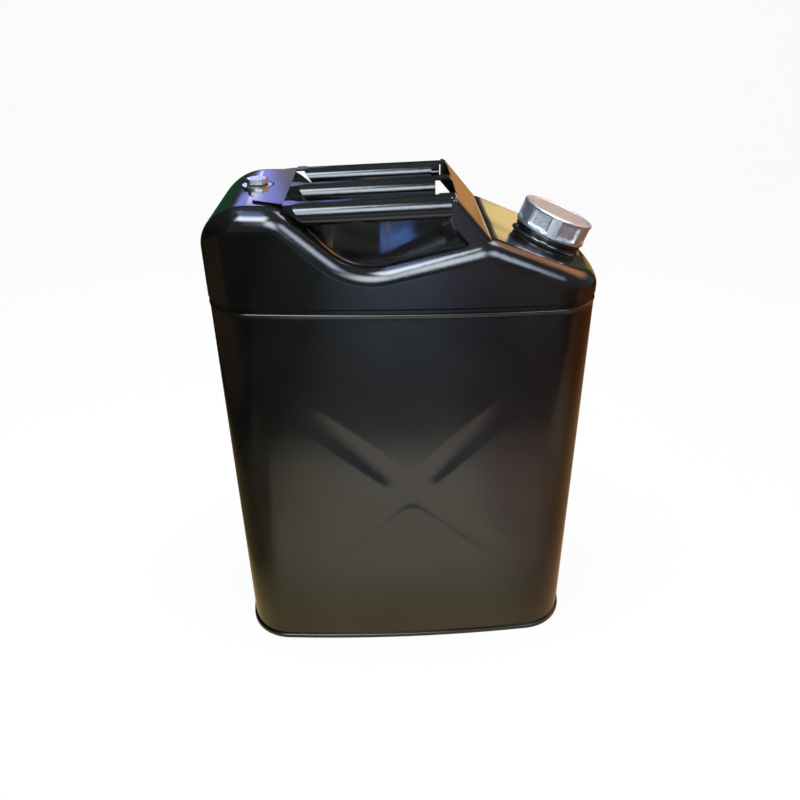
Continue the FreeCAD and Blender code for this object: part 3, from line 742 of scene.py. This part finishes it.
@dataclass
class CastCap:
    """The cast cap with its grip pockets and dished roof, in millimetres above the spout face."""

    radius: float = 32.5
    cavity: float = 27.4
    cavity_margin: float = 3.0
    low: float = 7.9
    ceiling: float = 24.2
    ceiling_ring_share: float = 0.6
    roof: float = 28.0
    rim_width: float = 3.5
    edge: float = 1.4
    edge_rows: int = 5
    dish_depth: float = 0.8
    dish_edge: float = 0.4
    dish_round: float = 0.12
    dish_slope: tuple[float, float] = (0.5, 0.9)
    dish_first_ring: float = 3.0
    dish_rings: int = 8
    pockets: int = 7
    pocket_floor: float = 29.1
    pocket_half_width: float = 9.75
    pocket_low: float = 11.1
    pocket_high: float = 26.0
    pocket_corner: float = 2.2
    pocket_slope: float = 1.3
    pocket_brink: float = 0.15
    rib_azimuth: float = -103.0
    sector_columns: int = 44
    wall_rows: int = 44
    weld_distance: float = 0.01
    smooth_angle: float = 50.0

    def pocket_share(self, across: np.ndarray, z: float) -> np.ndarray:
        """Say how fully a pocket is sunk.

        Args:
            across: places across the pocket, from its middle.
            z: their height.

        Returns:
            The share at each place: 0 on a rib, 1 on the pocket's floor.
        """
        middle = (self.pocket_low + self.pocket_high) / 2
        half = (self.pocket_high - self.pocket_low) / 2
        dx = np.abs(across) - (self.pocket_half_width - self.pocket_corner)
        dz = abs(z - middle) - (half - self.pocket_corner)
        outside = (np.hypot(np.maximum(dx, 0), max(dz, 0)) + np.minimum(np.maximum(dx, dz), 0)
                   - self.pocket_corner)
        return 1.0 - smooth_step(outside, -self.pocket_slope, self.pocket_brink)

    def section(self) -> list[tuple[float, float]]:
        """Draw the cap's section, from the cavity's middle round to the roof's middle.

        Returns:
            Radius and height of each row.
        """
        turn = np.linspace(0, math.pi / 2, self.edge_rows)
        dish, floor = self.radius - self.rim_width, self.roof - self.dish_depth
        rows = [(0.0, self.ceiling), (self.cavity * self.ceiling_ring_share, self.ceiling),
                (self.cavity, self.ceiling), (self.cavity, self.low)]
        rows += [(self.radius - self.edge * (1 - math.sin(a)),
                  self.low + self.edge * (1 - math.cos(a))) for a in turn]
        rows += [(self.radius, z) for z in np.linspace(self.low + self.edge,
                                                       self.roof - self.edge, self.wall_rows)[1:]]
        rows += [(self.radius - self.edge * (1 - math.cos(a)),
                  self.roof - self.edge * (1 - math.sin(a))) for a in turn[1:]]
        rows += [(dish + self.dish_edge, self.roof), (dish, self.roof - self.dish_round),
                 (dish - self.dish_slope[0], floor + self.dish_round),
                 (dish - self.dish_slope[1], floor)]
        rows += [(r, floor) for r in np.linspace(dish - self.dish_first_ring, 0.0,
                                                 self.dish_rings)]
        return rows

    def sector(self) -> tuple[np.ndarray, list[tuple[int, int, int, int]]]:
        """Build one pocket with half a rib each side.

        Returns:
            Its points and faces.
        """
        half = math.pi / self.pockets
        angles = np.linspace(-half, half, self.sector_columns + 1)
        rows = []
        for radius, z in self.section():
            reach = np.full(len(angles), radius)
            if radius > self.cavity + self.cavity_margin and z > self.low:
                sunk = self.pocket_share(self.radius * np.sin(angles), z)
                floor = np.minimum(self.pocket_floor / np.cos(angles), reach)
                reach = reach - sunk * (reach - floor)
            rows.append(lathe_row(reach, angles, z))
        return np.concatenate(rows), grid_faces(len(rows), len(angles), Grid.OPEN)

    def repeat(self, piece: bpy.types.Object, finish: bpy.types.Material) -> None:
        """Repeat the sector round the cap's axis, join the copies and dress them.

        Args:
            piece: the sector, which becomes the whole cap.
            finish: the casting's metal.
        """
        tree, start = new_group("cap_sectors", {
            "Count": "NodeSocketInt", "First Azimuth": "NodeSocketFloat",
            "Finish": "NodeSocketMaterial"})
        line = add(tree, "GeometryNodeMeshLine", {"Count": start.outputs["Count"],
                                                  "Offset": (0.0, 0.0, 0.0)})
        index = add(tree, "GeometryNodeInputIndex")
        pitch = add(tree, "ShaderNodeMath", {0: 2 * math.pi, 1: start.outputs["Count"]},
                    operation="DIVIDE")
        azimuth = add(tree, "ShaderNodeMath", {
            0: index.outputs[0], 1: pitch.outputs[0], 2: start.outputs["First Azimuth"]},
            operation="MULTIPLY_ADD")
        turned = add(tree, "ShaderNodeCombineXYZ", {"Z": azimuth.outputs[0]})
        copies = add(tree, "GeometryNodeInstanceOnPoints", {
            "Points": line.outputs[0], "Instance": start.outputs["Geometry"],
            "Rotation": turned.outputs[0]})
        solid = add(tree, "GeometryNodeRealizeInstances", {0: copies.outputs[0]})
        joined = add(tree, "GeometryNodeMergeByDistance", {
            "Geometry": solid.outputs[0], "Distance": self.weld_distance * MM})
        dressed = add(tree, "GeometryNodeSetMaterial", {
            "Geometry": joined.outputs[0], "Material": start.outputs["Finish"]})
        add(tree, "NodeGroupOutput", {0: dressed.outputs[0]})
        first = math.radians(self.rib_azimuth) + math.pi / self.pockets
        run_group(piece, tree, {"Count": self.pockets, "Finish": finish, "First Azimuth": first})

    def build(self, neck: NeckFrame, finish: bpy.types.Material) -> bpy.types.Object:
        """Build the cap round the Z axis and set it on the neck.

        Args:
            neck: where the neck stands.
            finish: the casting's metal.

        Returns:
            The piece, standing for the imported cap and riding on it.
        """
        points, faces = self.sector()
        piece = new_piece("cast_screw_cap", points, faces)
        self.repeat(piece, finish)
        mesh = piece.data
        upright = np.empty(len(mesh.vertices) * 3)
        mesh.vertices.foreach_get("co", upright)
        placed = neck.place(upright.reshape(-1, 3) / MM) * MM
        mesh.vertices.foreach_set("co", placed.ravel())
        mesh.update()
        mesh.shade_smooth()
        mesh.set_sharp_from_angle(angle=math.radians(self.smooth_angle))
        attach(piece, "cap")
        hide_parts("screw_cap")
        return piece


def only_in_gloss(card: bpy.types.Object) -> None:
    """Args:
        card: the card.
    """
    card.visible_camera = False
    card.visible_diffuse = False
    card.visible_shadow = False
    card.visible_transmission = False


@dataclass
class Card:
    """A card outside the view that only the gloss reflects, with soft edges."""

    name: str
    corners_mm: tuple[tuple[float, float, float], ...]
    colour: str
    strength: float
    softness: float = 0.3

    @classmethod
    def upright(cls, name: str, x: tuple[float, float], z: tuple[float, float], colour: str,
                strength: float = 1.0, softness: float = 0.3, y: float = 1500.0) -> "Card":
        """Describe a card that stands behind the can, parallel to its wide faces.

        Args:
            name: the card's name.
            x: where it starts and ends along the can's width, in millimetres.
            z: where it starts and ends in height, in millimetres.
            colour: its colour, as sRGB hex.
            strength: how bright it is, where white paper is 1.
            softness: the share of its width and height that each soft edge takes.
            y: how far behind the can it stands, in millimetres.

        Returns:
            The card, not built yet.
        """
        corners = ((x[0], y, z[0]), (x[1], y, z[0]), (x[1], y, z[1]), (x[0], y, z[1]))
        return cls(name, corners, colour, strength, softness)

    @classmethod
    def aimed(cls, name: str, azimuth: float, elevation: float, size: tuple[float, float],
              colour: str, strength: float = 1.0, softness: float = 0.3,
              distance: float = 2000.0) -> "Card":
        """Describe a card that faces the can's shoulder.

        Args:
            name: the card's name.
            azimuth: its direction in plan, in degrees from straight behind the can towards the
                neck.
            elevation: its height over the shoulder, in degrees.
            size: its width and height as seen from there, in degrees.
            colour: its colour, as sRGB hex.
            strength: how bright it is, where white paper is 1.
            softness: the share of its width and height that each soft edge takes.
            distance: how far off it stands, in millimetres.

        Returns:
            The card, not built yet.
        """
        shoulder = Vector((0.0, 0.0, 420.0))
        turn, lift = math.radians(azimuth), math.radians(elevation)
        out = Vector((math.sin(turn) * math.cos(lift), math.cos(turn) * math.cos(lift),
                      math.sin(lift)))
        side = Vector((math.cos(turn), -math.sin(turn), 0.0))
        rise = side.cross(out)
        middle = shoulder + out * distance
        half_width, half_height = (distance * math.tan(math.radians(a / 2)) for a in size)
        corners = [middle + side * half_width * u + rise * half_height * v
                   for u, v in ((-1, -1), (1, -1), (1, 1), (-1, 1))]
        return cls(name, tuple(tuple(corner) for corner in corners), colour, strength, softness)

    def finish(self) -> bpy.types.Material:
        """Make the card's glow, which fades out towards its edges.

        Returns:
            The material.
        """
        material, tree = new_material(self.name)
        uv = add(tree, "ShaderNodeUVMap", uv_map="card")
        split = add(tree, "ShaderNodeSeparateXYZ", {0: uv.outputs[0]})
        fades = []
        for axis in ("X", "Y"):
            centred = add(tree, "ShaderNodeMath", {0: split.outputs[axis], 1: 0.5},
                          operation="SUBTRACT")
            away = add(tree, "ShaderNodeMath", {0: centred.outputs[0]}, operation="ABSOLUTE")
            fades.append(add(tree, "ShaderNodeMapRange", {
                "Value": away.outputs[0], "From Min": 0.5 - self.softness, "From Max": 0.5,
                "To Min": 1.0, "To Max": 0.0}, interpolation_type="SMOOTHSTEP"))
        share = add(tree, "ShaderNodeMath", {0: fades[0].outputs[0], 1: fades[1].outputs[0]},
                    operation="MULTIPLY")
        clear = add(tree, "ShaderNodeBsdfTransparent")
        glow = add(tree, "ShaderNodeEmission", {"Color": linear(self.colour),
                                                "Strength": self.strength})
        mixed = add(tree, "ShaderNodeMixShader", {0: share.outputs[0], 1: clear.outputs[0],
                                                  2: glow.outputs[0]})
        add(tree, "ShaderNodeOutputMaterial", {"Surface": mixed.outputs[0]})
        return material

    def build(self) -> bpy.types.Object:
        """Stand the card in its place.

        Returns:
            The card.
        """
        mesh = bpy.data.meshes.new(self.name)
        mesh.from_pydata([[c * MM for c in corner] for corner in self.corners_mm], [],
                         [(0, 1, 2, 3)])
        layer = mesh.uv_layers.new(name="card")
        for loop, place in enumerate(((0, 0), (1, 0), (1, 1), (0, 1))):
            layer.data[loop].uv = place
        piece = new_object(self.name, mesh)
        dress(piece, self.finish())
        only_in_gloss(piece)
        return piece


@dataclass
class FloorCard:
    """A sheet on the floor that only the gloss reflects: bright before the can, dim aside.

    Its colour is the product of one row of colours from before the can to behind it and one
    from its left to its right, each at its place in millimetres.
    """

    reach_mm: float = 2600.0
    height_mm: float = 0.6
    strength: float = 1.3
    ahead: tuple[tuple[float, str], ...] = (
        (-2600.0, "#CFDDF2"), (-1250.0, "#B4CDF5"), (-960.0, "#8F9DB4"), (-680.0, "#80848A"),
        (-545.0, "#85888C"), (-500.0, "#909090"), (-462.0, "#BCBCB6"), (-395.0, "#F2ECDC"),
        (-334.0, "#F5ECD7"), (-205.0, "#E8DFC6"), (-137.0, "#C8C09A"), (-95.0, "#D0B888"),
        (250.0, "#D0B888"), (900.0, "#70706C"))
    aside: tuple[tuple[float, str], ...] = (
        (-1500.0, "#5A4A2A"), (-800.0, "#4A3C22"), (-560.0, "#100D09"), (-449.0, "#655F48"),
        (-271.0, "#787460"), (-180.0, "#DEDACE"), (-80.0, "#FFFFFF"), (100.0, "#FFFFFF"),
        (170.0, "#E0CAD0"), (300.0, "#C3A295"), (520.0, "#BCA090"), (800.0, "#A0603A"),
        (1500.0, "#A0603A"))

    def ramp(self, tree: bpy.types.NodeTree, value: bpy.types.NodeSocket,
             stops: Sequence[tuple[float, str]]) -> bpy.types.NodeSocket:
        """Turn a place along one axis into a colour.

        Args:
            tree: the card's material tree.
            value: the place, in metres.
            stops: places in millimetres, each with its colour.

        Returns:
            The colour socket.
        """
        first, last = stops[0][0], stops[-1][0]
        share = add(tree, "ShaderNodeMapRange", {
            "Value": value, "From Min": first * MM, "From Max": last * MM})
        node = add(tree, "ShaderNodeValToRGB", {"Fac": share.outputs["Result"]})
        elements = node.color_ramp.elements
        for _ in stops[2:]:
            elements.new(0.5)
        for element, (place, colour) in zip(elements, stops):
            element.position = (place - first) / (last - first)
            element.color = linear(colour)
        return node.outputs["Color"]

    def build(self) -> bpy.types.Object:
        """Lay the card on the floor.

        Returns:
            The card.
        """
        reach = self.reach_mm
        corners = ((-reach, -reach), (reach, -reach), (reach, reach), (-reach, reach))
        points = np.array([(x, y, self.height_mm) for x, y in corners])
        piece = new_piece("floor_card", points, [(0, 1, 2, 3)])
        material, tree = new_material("floor_card")
        place = add(tree, "ShaderNodeTexCoord").outputs["Object"]
        split = add(tree, "ShaderNodeSeparateXYZ", {0: place})
        colour = add(tree, "ShaderNodeMix", {
            "Factor": 1.0, "A": self.ramp(tree, split.outputs["Y"], self.ahead),
            "B": self.ramp(tree, split.outputs["X"], self.aside)},
            data_type="RGBA", blend_type="MULTIPLY")
        glow = add(tree, "ShaderNodeEmission", {"Color": colour.outputs["Result"],
                                                "Strength": self.strength})
        add(tree, "ShaderNodeOutputMaterial", {"Surface": glow.outputs[0]})
        dress(piece, material)
        only_in_gloss(piece)
        return piece


@dataclass
class SoftBox:
    """A rectangular lamp, in millimetres, with a brightness where lit white paper is about 1."""

    name: str
    place_mm: tuple[float, float, float]
    size_mm: tuple[float, float]
    radiance: float
    colour: str
    aim_mm: tuple[float, float, float] = (0, 0, 300)

    def build(self) -> bpy.types.Object:
        """Hang the lamp.

        Returns:
            The lamp's object.
        """
        light = bpy.data.lights.new(self.name, "AREA")
        light.shape = "RECTANGLE"
        light.size, light.size_y = (side * MM for side in self.size_mm)
        light.energy = self.radiance * math.pi * light.size * light.size_y
        light.color = linear(self.colour)[:3]
        piece = new_object(self.name, light)
        place = Vector(self.place_mm) * MM
        piece.location = place
        piece.rotation_mode = "QUATERNION"
        piece.rotation_quaternion = (Vector(self.aim_mm) * MM - place).to_track_quat("-Z", "Y")
        piece.visible_glossy = False
        return piece


@dataclass
class Studio:
    """The pale floor, the lamps, the cards that the gloss reflects, and the camera."""

    floor_front_mm: float = 2600.0
    floor_back_mm: float = 1900.0
    floor_half_width_mm: float = 2300.0
    wall_height_mm: float = 1900.0
    wall_bend_mm: float = 500.0
    wall_bend_steps: int = 16
    paper: str = "#F4F3F0"
    white: str = "#FFFFFF"
    white_strength: float = 1.08
    white_share: float = 0.85
    room: str = "#9CA4B0"
    room_strength: float = 0.5
    camera_place_mm: tuple[float, float, float] = (-16.34, -670.25, 624.26)
    camera_yaw: float = 4.06
    camera_pitch: float = 31.17
    camera_roll: float = 0.76
    camera_clip_m: tuple[float, float] = (0.01, 20.0)
    focal_px: float = 756.35
    centre_px: tuple[float, float] = (435.18, 424.81)
    image_px: float = 800.0

    def paper_finish(self) -> bpy.types.Material:
        """Make the paper: shaded by the lamps, and mostly its own white where it is seen.

        Returns:
            The material.
        """
        material, tree = new_material("pale_studio_paper")
        path = add(tree, "ShaderNodeLightPath")
        paper = add(tree, "ShaderNodeBsdfDiffuse", {"Color": linear(self.paper)})
        white = add(tree, "ShaderNodeEmission", {"Color": linear(self.white),
                                                 "Strength": self.white_strength})
        seen = path.outputs["Is Camera Ray"]
        for ray in ("Is Glossy Ray", "Is Transmission Ray"):
            seen = add(tree, "ShaderNodeMath", {0: seen, 1: path.outputs[ray]},
                       operation="MAXIMUM").outputs[0]
        share = add(tree, "ShaderNodeMath", {0: seen, 1: self.white_share}, operation="MULTIPLY")
        mixed = add(tree, "ShaderNodeMixShader", {0: share.outputs[0], 1: paper.outputs[0],
                                                  2: white.outputs[0]})
        add(tree, "ShaderNodeOutputMaterial", {"Surface": mixed.outputs[0]})
        return material

    def backdrop(self) -> bpy.types.Object:
        """Build the floor and the wall that it sweeps up into.

        Returns:
            The sweep as one object.
        """
        line = [(-self.floor_front_mm, 0.0), (self.floor_back_mm, 0.0)]
        for i in range(1, self.wall_bend_steps + 1):
            turn = math.pi / 2 * i / self.wall_bend_steps
            line.append((self.floor_back_mm + self.wall_bend_mm * math.sin(turn),
                         self.wall_bend_mm * (1 - math.cos(turn))))
        line.append((self.floor_back_mm + self.wall_bend_mm, self.wall_height_mm))
        half = self.floor_half_width_mm
        verts = [(x * MM, y * MM, z * MM) for y, z in line for x in (-half, half)]
        faces = [(2 * i, 2 * i + 1, 2 * i + 3, 2 * i + 2) for i in range(len(line) - 1)]
        mesh = bpy.data.meshes.new("studio_sweep")
        mesh.from_pydata(verts, [], faces)
        mesh.shade_smooth()
        sweep = new_object("studio_sweep", mesh)
        dress(sweep, self.paper_finish())
        return sweep

    def world(self) -> None:
        """Give the room round the stage its dim, slightly blue light."""
        world = bpy.data.worlds.new("studio_room")
        bpy.context.scene.world = world
        world.use_nodes = True
        tree = world.node_tree
        tree.nodes.clear()
        glow = add(tree, "ShaderNodeBackground", {"Color": linear(self.room),
                                                  "Strength": self.room_strength})
        add(tree, "ShaderNodeOutputWorld", {"Surface": glow.outputs[0]})

    def camera(self) -> None:
        """Place the camera where the photograph was taken from."""
        yaw, pitch, roll = (math.radians(angle) for angle in (
            self.camera_yaw, self.camera_pitch, self.camera_roll))
        ahead = Vector((math.sin(yaw) * math.cos(pitch), math.cos(yaw) * math.cos(pitch),
                        -math.sin(pitch)))
        level = Vector((math.cos(yaw), -math.sin(yaw), 0.0))
        upright = level.cross(ahead)
        right = level * math.cos(roll) + upright * math.sin(roll)
        up = upright * math.cos(roll) - level * math.sin(roll)
        data = bpy.data.cameras.new("photo_camera")
        data.lens = self.focal_px / self.image_px * data.sensor_width
        data.shift_x = 0.5 - self.centre_px[0] / self.image_px
        data.shift_y = self.centre_px[1] / self.image_px - 0.5
        data.clip_start, data.clip_end = self.camera_clip_m
        piece = new_object("photo_camera", data)
        turn = Matrix((right, up, -ahead)).transposed().to_4x4()
        piece.matrix_world = Matrix.Translation(Vector(self.camera_place_mm) * MM) @ turn
        bpy.context.scene.camera = piece

    def cards(self) -> None:
        """Stand the cards that the enamel and the metal reflect."""
        FloorCard().build()
        upright, aimed = Card.upright, Card.aimed
        rows = [
            # Behind the can, for the tops of the shoulder, the recess and the spout.
            upright("dim_wall", (-2300, 2300), (-20, 1900), "#3A3E3C", softness=0.05, y=1700),
            upright("window_card", (-640, -250), (690, 970), "#9AA4FF", 2.2, 0.2),
            upright("window_core", (-430, -345), (775, 838), "#FFFCF0", 8.0, 0.35, 1490),
            upright("window_sill", (-335, -180), (730, 832), "#D6CFD8", 0.75, 0.25, 1485),
            upright("blue_card", (-245, -130), (832, 868), "#6A9AFF", 3.6, 0.3, 1480),
            upright("green_card", (-1300, -330), (-40, 600), "#1A4A28", softness=0.15, y=1600),
            upright("ochre_card", (380, 720), (440, 680), "#FFDD98", 2.3, 0.35),
            upright("cream_card", (560, 775), (400, 545), "#FFDE8C", 3.4, 0.3, 1480),
            upright("lilac_card", (640, 780), (545, 605), "#C4CCFF", 0.5, 0.3, 1470),
            upright("olive_card", (770, 1100), (300, 560), "#A8AA52", 0.9, 0.3, 1460),
            upright("brown_card", (200, 1300), (-40, 430), "#D79A5C", 1.0, 0.15, 1495),
            # At the sides, for the rounded ends of the can.
            aimed("orange_card", 64, 33, (56, 52), "#FFAE78", 3.4, 0.4),
            aimed("dark_left", -80, 12, (100, 80), "#101210", 1.0, 0.1, 1700),
            # Before and above the can, for the bright lines on its rims and bars.
            aimed("front_window", -176, 31, (38, 46), "#E6F2FF", 12.0, 0.45),
            aimed("front_left_window", -147, 54, (34, 40), "#E6F2FF", 18.0, 0.35, 1900),
            aimed("front_right_window", 146, 31, (42, 38), "#DCE8FF", 9.0, 0.45, 1800),
            aimed("ceiling_card", 58, 60, (46, 30), "#E8ECFF", 8.0, 0.4, 1800),
            aimed("blue_ceiling_card", -100, 69, (60, 20), "#A8C0FF", 4.0, 0.4, 1700),
        ]
        for card in rows:
            card.build()

    def build(self) -> None:
        """Set up the whole studio."""
        bpy.context.scene.view_settings.view_transform = "Standard"
        self.backdrop()
        self.world()
        SoftBox("overhead_softbox", place_mm=(0, -150, 1700), size_mm=(1200, 800), radiance=5.5,
                colour="#F4F8FF").build()
        SoftBox("left_softbox", place_mm=(-1300, -700, 1100), size_mm=(500, 900), radiance=1.5,
                colour="#FFFFFF").build()
        self.cards()
        self.camera()


@dataclass
class FuelCan:
    """The can's pieces, each dressed in its finish."""

    frame: dict
    finishes: dict[Slot, bpy.types.Material] = field(default_factory=dict)

    def make_finishes(self) -> None:
        """Make the finish of each of the record's slots."""
        self.finishes = {
            # Deep black gloss, with reflections that swim a little.
            Slot.BLACK_ENAMEL: BlackEnamel().build(),
            # The same black, duller where the cap rubs it, and darker as painted shade under the cap, so
            # that the thread stays dark.
            Slot.NECK_ENAMEL: BlackEnamel(
                name="stoved_black_enamel_on_neck_painted_shade", colour="#0D0D0D", roughness=0.22).build(),
            # Pale grey metal with a sandy grain, which blurs the room into soft patches.
            Slot.CAST_ALUMINIUM: Metal(
                name="sand_cast_aluminium", colour="#EAECEE", dark="#A6ABB0", roughness=0.44,
                roughness_spread=0.1, grain_mm=2.6, relief_mm=0.3).build(),
            # Bright, nearly smooth plate, whose flats turn light or dark as a whole.
            Slot.PLATED_STEEL: Metal(
                name="bright_zinc_plate", colour="#F6F8FA", dark="#D6DADF", roughness=0.26,
                roughness_spread=0.05, grain_mm=1.2, relief_mm=0.02).build(),
            # Matt black, a thin dark line between the bright screw and its washer.
            Slot.BLACK_RUBBER: Rubber().build(),
        }

    def dress_nodes(self) -> None:
        """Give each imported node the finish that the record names, and the top its own."""
        for row in self.frame["record"]["subparts"]:
            dress(self.frame["nodes"][row["node"]], self.finishes[Slot(row["material_slot"])])
        # The same enamel over deep-drawn sheet, whose waves are shorter than the wall's.
        drawn = BlackEnamel(name="stoved_black_enamel_on_drawn_top", sheet_wave_mm=62.0,
                            sheet_wave_height_mm=0.45)
        dress(self.frame["nodes"]["top_shell"], drawn.build())

    def build(self) -> None:
        """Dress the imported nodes, build the scene's own pieces and report each."""
        self.make_finishes()
        self.dress_nodes()
        enamel = self.finishes[Slot.BLACK_ENAMEL]
        neck = NeckFrame.read(self.frame)
        pieces = [
            *self.frame["nodes"].values(),
            BodyWall().build(enamel),
            WallWeld().build(enamel),
            ThreadedNeck().build(neck, self.finishes[Slot.NECK_ENAMEL]),
            CastCap().build(neck, self.finishes[Slot.CAST_ALUMINIUM]),
        ]
        for piece in pieces:
            LOG.info("%s has %d faces", piece.name, len(piece.data.polygons))


def main() -> None:
    """Build the can and the studio round it."""
    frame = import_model()
    FuelCan(frame).build()
    Studio().build()


if __name__ == "__main__":
    main()
